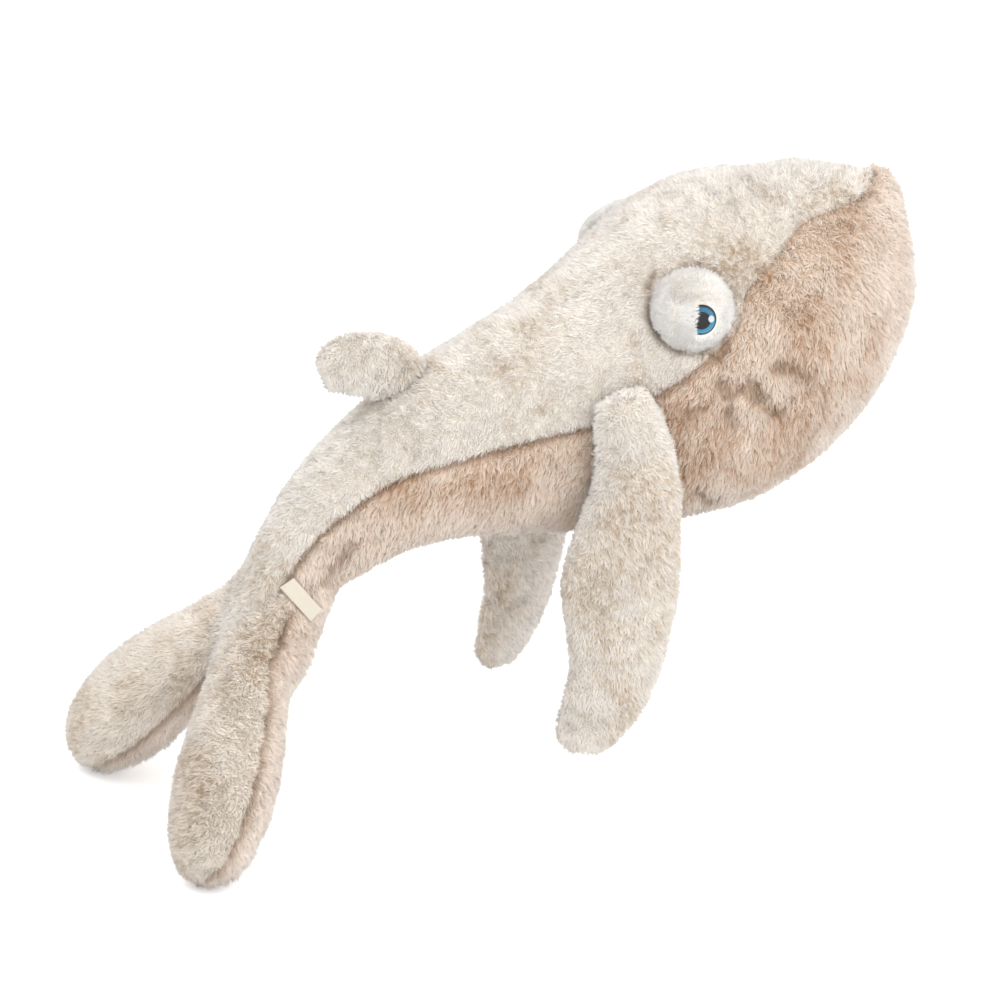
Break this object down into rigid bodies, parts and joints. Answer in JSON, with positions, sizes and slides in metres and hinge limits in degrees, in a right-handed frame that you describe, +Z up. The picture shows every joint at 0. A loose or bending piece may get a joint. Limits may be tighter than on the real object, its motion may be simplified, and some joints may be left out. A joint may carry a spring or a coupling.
{
  "type": "plush whale",
  "caption": "Large plush whale: fur panels over stuffed body, bending tail, floppy flukes and fins, embroidered domed eyes and a blank side label.",
  "frame": {"origin": "under the middle of the whale's box, level with the tips of the tail flukes, which are the lowest points", "axes": "+X towards the nose, +Y to the whale's left, +Z up; the whale is shown nose up with its fins hanging down, as in the picture"},
  "size_m": [0.9366, 0.4354, 0.6715],
  "materials": {
    "cream_fur": "short curly pile",
    "beige_fur": "long soft pile",
    "white_fur": "short smooth pile",
    "stuffing": "polyester fibre",
    "navy_thread": "satin stitch",
    "teal_thread": "satin stitch",
    "black_thread": "satin stitch",
    "grey_thread": "satin stitch",
    "woven_tape": "woven satin tape"
  },
  "bodies": {
    "torso": {"jaw_fur": "beige_fur", "belly_fur": "beige_fur", "body_stuffing": "stuffing", "right_back_fur": "cream_fur", "right_eye_fur": "white_fur", "right_eye_stuffing": "stuffing", "right_eye_outline": "navy_thread", "right_iris": "teal_thread", "right_pupil": "black_thread", "right_eye_highlight": "grey_thread", "left_back_fur": "cream_fur", "left_eye_fur": "white_fur", "left_eye_stuffing": "stuffing", "left_eye_outline": "navy_thread", "left_iris": "teal_thread", "left_pupil": "black_thread", "left_eye_highlight": "grey_thread"},
    "tail": {"right_tail_fur": "cream_fur", "left_tail_fur": "cream_fur", "tail_belly_fur": "beige_fur", "tail_stuffing": "stuffing"},
    "right_fluke": {"right_fluke_top_fur": "cream_fur", "right_fluke_under_fur": "beige_fur", "right_fluke_stuffing": "stuffing"},
    "left_fluke": {"left_fluke_top_fur": "cream_fur", "left_fluke_under_fur": "beige_fur", "left_fluke_stuffing": "stuffing"},
    "right_fin": {"right_fin_outer_fur": "cream_fur", "right_fin_inner_fur": "cream_fur", "right_fin_stuffing": "stuffing"},
    "left_fin": {"left_fin_outer_fur": "cream_fur", "left_fin_inner_fur": "cream_fur", "left_fin_stuffing": "stuffing"},
    "dorsal_fin": {"right_dorsal_fur": "cream_fur", "left_dorsal_fur": "cream_fur", "dorsal_stuffing": "stuffing"},
    "label": {"label": "woven_tape"}
  },
  "joints": [
    {"name": "tail_bend", "type": "hinge", "parent": "torso", "child": "tail", "pos_m": [-0.18381, 0, 0.35311], "axis": [0, 1, 0], "range_deg": [-25, 25], "stiffness_Nm_per_rad": 6},
    {"name": "right_fluke_flap", "type": "hinge", "parent": "tail", "child": "right_fluke", "pos_m": [-0.32852, 0, 0.20066], "axis": [0, 1, 0], "range_deg": [-30, 30], "stiffness_Nm_per_rad": 1.5},
    {"name": "left_fluke_flap", "type": "hinge", "parent": "tail", "child": "left_fluke", "pos_m": [-0.32852, 0, 0.20066], "axis": [0, 1, 0], "range_deg": [-30, 30], "stiffness_Nm_per_rad": 1.5},
    {"name": "right_fin_swing", "type": "hinge", "parent": "torso", "child": "right_fin", "pos_m": [0.07482, -0.14131, 0.46297], "axis": [-0.8992, 0.2922, -0.3256], "range_deg": [0, 100]},
    {"name": "left_fin_swing", "type": "hinge", "parent": "torso", "child": "left_fin", "pos_m": [0.07482, 0.14131, 0.46297], "axis": [0.8992, 0.2922, 0.3256], "range_deg": [0, 100]},
    {"name": "dorsal_fin_lean", "type": "hinge", "parent": "torso", "child": "dorsal_fin", "pos_m": [-0.15096, 0, 0.50326], "axis": [0.788, 0, 0.6157], "range_deg": [-30, 30], "stiffness_Nm_per_rad": 0.4},
    {"name": "label_lift", "type": "hinge", "parent": "tail", "child": "label", "pos_m": [-0.29296, -0.04451, 0.28736], "axis": [-0.7835, 0.1941, -0.5903], "range_deg": [0, 120]}
  ]
}
